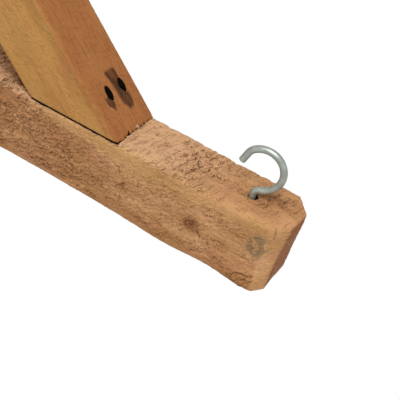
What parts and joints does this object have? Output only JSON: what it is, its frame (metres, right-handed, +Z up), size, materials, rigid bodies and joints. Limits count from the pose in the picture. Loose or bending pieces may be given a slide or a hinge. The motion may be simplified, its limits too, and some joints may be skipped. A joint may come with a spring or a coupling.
{
  "type": "wooden hanging basket bracket",
  "caption": "Rough-sawn timber wall bracket with a diagonal brace and a turned-down open screw hook near the free end, for hanging a basket.",
  "frame": {"origin": "on the wall plane (the back plate's rear face), midway between the two wall fixing holes", "axes": "+X out from the wall along the arm, +Z up, +Y to the left of a person looking out from the wall"},
  "size_m": [0.38, 0.045, 0.33],
  "materials": {
    "back_plate_timber": "rough sawn, bare, weathered",
    "arm_timber": "rough sawn, bare, weathered",
    "brace_timber": "rough sawn, bare, weathered",
    "wood_screw_steel": "dull plated, lightly rusted",
    "galvanised_wire": "matt zinc"
  },
  "bodies": {
    "bracket": {"back_plate": "back_plate_timber", "arm": "arm_timber", "brace": "brace_timber", "arm_screw_lower": "wood_screw_steel", "arm_screw_upper": "wood_screw_steel", "brace_foot_screw_left": "wood_screw_steel", "brace_foot_screw_right": "wood_screw_steel", "brace_head_screw_left": "wood_screw_steel", "brace_head_screw_right": "wood_screw_steel"},
    "hook": {"screw_hook": "galvanised_wire"}
  },
  "joints": [
    {"name": "hook_turn", "type": "hinge", "parent": "bracket", "child": "hook", "pos_m": [0.3445, 0.002, 0.075], "axis": [0, 0, 1], "range_deg": [-180, 180]}
  ]
}
